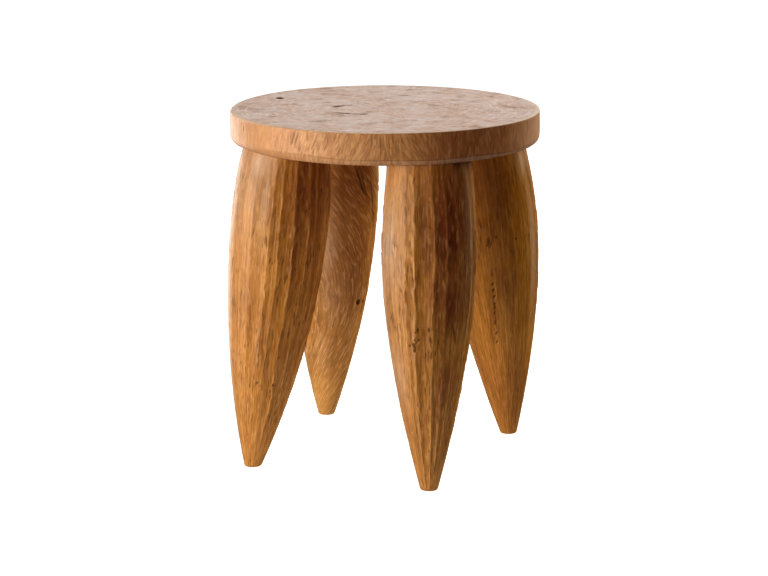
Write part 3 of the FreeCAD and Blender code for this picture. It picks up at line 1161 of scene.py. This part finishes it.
# Dark brown that staining and painted shade multiply the wood by
STAIN_AND_SHADE = (0.41, 0.172, 0.09, 1.0)
FLICK = (0.80, 0.46, 0.19, 1.0)
# Pale colour of wear, painted highlights and painted sheen
WEAR_AND_SHEEN_PALE = (0.96, 0.77, 0.58, 1.0)
WHITE = (1.0, 1.0, 1.0, 1.0)

# Dark, middle and light tones of the woods, and how each leg's wood differs from the others
SEAT_TONES = ((0.36, 0.135, 0.032), (0.56, 0.25, 0.075), (0.76, 0.42, 0.185))
LEG_TONES = ((0.25, 0.08, 0.005), (0.46, 0.176, 0.016), (0.63, 0.29, 0.06))
WEDGE_TONES = ((0.12, 0.05, 0.02), (0.20, 0.09, 0.035), (0.30, 0.15, 0.07))
LEG_TINTS = {
    "front_right": (0.90, 0.945, 0.86),
    "back_right": (0.98, 1.03, 0.80),
    "back_left": (1.03, 1.12, 1.25),
    "front_left": (1.01, 1.06, 1.06),
}
LEG_GLOSS = {"front_right": 0.75, "back_right": 0.45, "back_left": 0.6, "front_left": 0.75}
SEAT_GRAIN = 0.28
SEAT_GLOSS = 0.65
WEDGE_GLOSS = 0.5
FULL_GRAIN = 1.0

# Where the tones lie on the wood's ramp
TONE_PLACES = (0.33, 0.5, 0.67)

# Patterns of the wood: cells to the metre along X, Y and Z, detail, roughness and, for one, distortion
FIBRES = ((420, 420, 14), 4.0, 0.6)
FINE_FIBRES = ((1000, 1000, 55), 2.0, 0.5)
BROAD_TONES = ((30, 30, 9), 3.0, 0.55)
PORES = ((620, 620, 85), 1.0, 0.4)
PORE_GROUPS = ((55, 55, 12), 2.0, 0.5)
FLICKS = ((430, 430, 76), 0.5, 0.5)
NICKS = ((460, 460, 75), 1.0, 0.5)
PATCHES = ((32, 32, 32), 2.5, 0.55, 0.6)
DARK_PATCHES = ((50, 50, 50), 2.5, 0.55)
LIGHT_PATCHES = ((75, 75, 190), 2.5, 0.55)
MOTTLE = ((120, 120, 40), 3.0, 0.6)

# How far each layer of colour covers what lies under it, and how much darker the deepest places are
TOP_COVER = 0.8
PORE_COVER = 0.4
FLICK_COVER = 0.55
HOLLOW_COVER = 0.8
DEEP_SHARE = 0.3


class Value:
    """What a shader node puts out. Sums, differences and products of values are math nodes."""

    def __init__(self, graph, socket):
        self.graph = graph
        self.socket = socket

    def __add__(self, other):
        return self.graph.math("ADD", self, other)

    def __sub__(self, other):
        return self.graph.math("SUBTRACT", self, other)

    def __rsub__(self, other):
        return self.graph.math("SUBTRACT", other, self)

    def __mul__(self, other):
        return self.graph.math("MULTIPLY", self, other)


class Graph:
    """Short names for making and joining shader nodes."""

    def __init__(self, tree):
        tree.nodes.clear()
        self.tree = tree

    def node(self, kind, output, inputs=(), **settings):
        """Adds a node, and returns one of its outputs."""
        made = self.tree.nodes.new(kind)
        for name, value in settings.items():
            setattr(made, name, value)
        for key, value in dict(inputs).items():
            if isinstance(value, Value):
                self.tree.links.new(value.socket, made.inputs[key])
            else:
                made.inputs[key].default_value = value
        return Value(self, made.outputs[output])

    def end(self, kind, value):
        """Adds the node that a tree ends in."""
        self.tree.links.new(value.socket, self.tree.nodes.new(kind).inputs[0])

    def math(self, operation, *values):
        return self.node("ShaderNodeMath", 0, enumerate(values), operation=operation)

    def highest(self, first, *others):
        for other in others:
            first = self.math("MAXIMUM", first, other)
        return first

    def dot(self, vector, axis):
        inputs = {0: vector, 1: tuple(axis)}
        return self.node("ShaderNodeVectorMath", "Value", inputs, operation="DOT_PRODUCT")

    def noise(self, vector, scale, detail, roughness, distortion=0.0):
        stretched = self.node("ShaderNodeVectorMath", 0, {0: vector, 1: scale}, operation="MULTIPLY")
        inputs = {"Vector": stretched, "Scale": 1.0, "Detail": detail, "Roughness": roughness,
                  "Distortion": distortion}
        return self.node("ShaderNodeTexNoise", 0, inputs)

    def span(self, value, low, high, new_low=0.0, new_high=1.0):
        inputs = {0: value, 1: low, 2: high, 3: new_low, 4: new_high}
        return self.node("ShaderNodeMapRange", 0, inputs, clamp=True)

    def spots(self, vector, pattern, *limits):
        """A noise pattern, stretched between limits as span takes them."""
        return self.span(self.noise(vector, *pattern), *limits)

    def mix(self, factor, low, high, blend="MIX"):
        inputs = {0: factor, 6: low, 7: high}
        return self.node("ShaderNodeMix", 2, inputs, data_type="RGBA", blend_type=blend)

    def attribute(self, name, output="Fac"):
        return self.node("ShaderNodeAttribute", output, attribute_name=name)


def wood_figure(graph):
    """What the wood shows at each point: fibres, pores, tool marks, staining with painted shade, and
    bleaching with painted sheen and glints.
    """
    place = graph.node("ShaderNodeTexCoord", "Object")
    stroke = graph.attribute("stroke", "Vector")
    figure = SimpleNamespace()
    figure.top = graph.attribute("top")
    figure.side = 1.0 - figure.top
    figure.fibre = graph.noise(stroke, *FIBRES)
    figure.fine = graph.noise(stroke, *FINE_FIBRES)
    figure.broad = graph.noise(place, *BROAD_TONES)
    grouped = graph.spots(place, PORE_GROUPS, 0.35, 0.65)
    figure.pore = graph.spots(stroke, PORES, 0.60, 0.72) * grouped * figure.side
    figure.flick = graph.spots(stroke, FLICKS, 0.57, 0.66) * graph.attribute("flicks")
    figure.nick = graph.spots(stroke, NICKS, 0.57, 0.67) * graph.attribute("nicks")
    figure.hollow = graph.highest(graph.attribute("hollow"), figure.nick)
    figure.crest = graph.attribute("crest") * graph.span(figure.top, 0.0, 1.0, 0.32, 0.25)
    figure.patch = graph.noise(place, *PATCHES)
    figure.darker = graph.spots(place, DARK_PATCHES, 0.52, 0.68, 0.0, 0.55)
    # Light patches on the top: bleaching, and painted glints
    figure.lighter = graph.spots(stroke, LIGHT_PATCHES, 0.50, 0.68, 0.0, 0.8)
    # Staining and painted shade, mottled
    figure.stained = graph.attribute("stain") * graph.spots(place, MOTTLE, 0.35, 0.6, 0.75, 1.0)
    return figure


def wood_ramp(graph, figure, tones, grain):
    """Colour of the plain wood, from its dark tone to its light one."""
    tone = (figure.fibre - 0.5) * (0.5 * grain) + (figure.fine - 0.5) * (0.35 * grain)
    tone = tone * figure.side + 0.5 + (figure.broad - 0.5) * 0.3 + (figure.patch - 0.5) * figure.top
    tone = tone + graph.attribute("pale") * 0.08
    ramp = graph.node("ShaderNodeValToRGB", 0, {0: tone})
    elements = ramp.socket.node.color_ramp.elements
    elements.new(TONE_PLACES[1])
    for element, place, colour in zip(elements, TONE_PLACES, tones):
        element.position = place
        element.color = (*colour, 1.0)
    return ramp


def wood_colour(graph, figure, tones, grain):
    """Colour of the worked wood with its wear, from the plain wood to what lies on top, with painted shade,
    highlights and sheen among the layers.
    """
    dark, _, light = tones
    deep = (*[value * DEEP_SHARE for value in dark], 1.0)
    # Pale colour of crests, dent ridges and burrs: wear, and a painted glint on them
    pale = graph.mix(figure.top, (*[min(1.2 * value + 0.02, 0.9) for value in light], 1.0), BLEACH_AND_GLINT_LIGHT)
    # The top's bleaching, partly painted sheen
    top_bleach_and_sheen = graph.mix(graph.span(figure.patch, 0.43, 0.62), BLEACHED_TAN, BLEACH_AND_SHEEN_GREY)
    top_bleach_and_sheen = graph.mix(figure.darker, top_bleach_and_sheen, BLEACHED_DARK)
    top_bleach_and_sheen = graph.mix(figure.lighter, top_bleach_and_sheen, BLEACH_AND_GLINT_LIGHT)
    colour = graph.mix(figure.top * TOP_COVER, wood_ramp(graph, figure, tones, grain), top_bleach_and_sheen)
    # Staining and painted shade
    colour = graph.mix(figure.stained, colour, graph.mix(1.0, colour, STAIN_AND_SHADE, "MULTIPLY"))
    colour = graph.mix(figure.pore * PORE_COVER, colour, deep)
    colour = graph.mix(figure.crest, colour, pale)
    colour = graph.mix(figure.flick * FLICK_COVER, colour, FLICK)
    # Cuts, pits and nicks darkened: dirt, and painted shade in the hollows
    colour = graph.mix(figure.hollow * HOLLOW_COVER, colour, deep)
    # Wear, painted highlights along edges and painted sheen
    return graph.mix(graph.attribute("worn"), colour, WEAR_AND_SHEEN_PALE)


def make_wood(name, tones, grain, gloss, tint=(1.0, 1.0, 1.0)):
    """Wood whose fibres and pores follow the tool strokes. A top is bleached and painted with sheen, and
    lighter along its rings with painted glints.
    """
    material = bpy.data.materials.new(name)
    material.use_nodes = True
    graph = Graph(material.node_tree)
    figure = wood_figure(graph)
    dull = graph.highest(figure.darker * figure.top * 0.6, figure.hollow, figure.stained)
    polish = graph.span(figure.fibre, 0.3, 0.7, 0.42, 0.58) - figure.top * 0.14
    height = figure.fibre + figure.fine - figure.pore * 0.9 + (figure.flick - figure.nick) * 0.7
    bump = graph.node("ShaderNodeBump", 0, {
        "Strength": figure.side * 0.4, "Distance": 0.4 * MM, "Height": height})
    shader = graph.node("ShaderNodeBsdfPrincipled", 0, {
        "Base Color": wood_colour(graph, figure, [tuple(np.multiply(tone, tint)) for tone in tones], grain),
        "Roughness": dull * 0.38 + polish,
        "Specular IOR Level": gloss,
        "Normal": bump})
    graph.end("ShaderNodeOutputMaterial", shader)
    return material


# Stage

# Soft square panels round the stool: how far each stands round to the right of the camera, its height and
# strength, and whether it only lends the wood its sheen
Panel = namedtuple("Panel", "name turn height energy sheen")
PANELS = (
    Panel("window", -51 * DEG, 0.5, 31.5, False),
    Panel("front_fill", -22 * DEG, 0.5, 7.5, False),
    Panel("right_window", 96 * DEG, 1.2, 23.0, False),
    Panel("back_window", 145 * DEG, 0.5, 28.0, False),
    Panel("front_sheen", -65 * DEG, 0.1, 19.0, True),
    Panel("side_sheen", -85 * DEG, 0.1, 9.0, True),
    Panel("back_sheen", -140 * DEG, 0.1, 17.5, True),
)
PANEL_SIZE = 1.0
PANEL_DISTANCE = 2.0
PANEL_AIM = Vector((0, 0, 0.3))

# Light that a pale floor gives back from below: how far towards the camera its middle is, and its strength
Bounce = namedtuple("Bounce", "name forward energy")
BOUNCES = (Bounce("bounce_below", 0.0, 1.8), Bounce("bounce_in_front", 0.5, 0.55))
BOUNCE_SIZE = 0.9
BOUNCE_HEIGHT = -0.02

FLOOR_REACH = 30.0
FLOOR_FINISH = {
    "Base Color": (0.6, 0.6, 0.6, 1.0),
    "Roughness": 0.9,
    "Emission Color": WHITE,
    "Emission Strength": 0.8,
}

# The surround's light: how it gathers behind the stool, how it grows with height, and what is everywhere
BEHIND_POWER = 1.5
RAISED_FROM, RAISED_TO = -0.05, 0.45
RAISED_LOW, RAISED_HIGH = 0.074, 2.55
AMBIENT = 0.028

VIEW_GAMMA = 0.8


def make_floor():
    mesh = bpy.data.meshes.new("floor")
    corners = [(x * FLOOR_REACH, y * FLOOR_REACH, 0) for x, y in ((-1, -1), (1, -1), (1, 1), (-1, 1))]
    mesh.from_pydata(corners, [], [(0, 1, 2, 3)])
    floor = bpy.data.objects.new("floor", mesh)
    material = bpy.data.materials.new("pale_floor")
    material.use_nodes = True
    shader = material.node_tree.nodes["Principled BSDF"]
    for socket, value in FLOOR_FINISH.items():
        shader.inputs[socket].default_value = value
    mesh.materials.append(material)
    floor.visible_diffuse = False
    floor.visible_glossy = False
    floor.visible_shadow = False
    bpy.context.scene.collection.objects.link(floor)


def add_light(name, place, size, energy):
    data = bpy.data.lights.new(name, "AREA")
    data.size = size
    data.energy = energy
    light = bpy.data.objects.new(name, data)
    light.location = place
    bpy.context.scene.collection.objects.link(light)
    return light


def make_panel(panel):
    place = (VIEW_RIGHT * math.sin(panel.turn) - VIEW_AWAY * math.cos(panel.turn)) * PANEL_DISTANCE
    place.z = panel.height
    light = add_light(panel.name, place, PANEL_SIZE, panel.energy)
    light.rotation_euler = (PANEL_AIM - place).to_track_quat("-Z", "Y").to_euler()
    light.visible_diffuse = not panel.sheen
    light.visible_glossy = panel.sheen


def make_bounce(bounce):
    place = VIEW_AWAY * -bounce.forward
    place.z = BOUNCE_HEIGHT
    light = add_light(bounce.name, place, BOUNCE_SIZE, bounce.energy)
    light.data.shape = "DISK"
    light.rotation_euler = (math.pi, 0, 0)
    light.visible_glossy = False


def make_world():
    """A white surround behind and above the stool, and little light from the front and from below."""
    world = bpy.data.worlds.new("studio")
    bpy.context.scene.world = world
    world.use_nodes = True
    graph = Graph(world.node_tree)
    direction = graph.node("ShaderNodeTexCoord", "Generated")
    behind = graph.math("POWER", graph.highest(graph.dot(direction, VIEW_AWAY), 0.0), BEHIND_POWER)
    raised = graph.span(graph.dot(direction, (0, 0, 1)), RAISED_FROM, RAISED_TO, RAISED_LOW, RAISED_HIGH)
    light = graph.node("ShaderNodeBackground", 0, {"Color": WHITE, "Strength": behind * raised + AMBIENT})
    plain = graph.node("ShaderNodeBackground", 0, {"Color": WHITE, "Strength": 1.0})
    seen = graph.node("ShaderNodeLightPath", "Is Camera Ray")
    graph.end("ShaderNodeOutputWorld", graph.node("ShaderNodeMixShader", 0, {0: seen, 1: light, 2: plain}))


def main():
    view = bpy.context.scene.view_settings
    view.view_transform = "Standard"
    view.gamma = VIEW_GAMMA
    wedge_wood = make_wood("split_wood", WEDGE_TONES, FULL_GRAIN, WEDGE_GLOSS)
    make_camera()
    build_seat(make_wood("seat_wood", SEAT_TONES, SEAT_GRAIN, SEAT_GLOSS))
    for name in LEG_NAMES:
        wood = make_wood("wood_of_" + name, LEG_TONES, FULL_GRAIN, LEG_GLOSS[name], LEG_TINTS[name])
        build_leg(name, wood)
        wedge = frame["nodes"]["fox_wedge_" + name]
        wedge.data.materials.clear()
        wedge.data.materials.append(wedge_wood)
    make_floor()
    for panel in PANELS:
        make_panel(panel)
    for bounce in BOUNCES:
        make_bounce(bounce)
    make_world()


main()
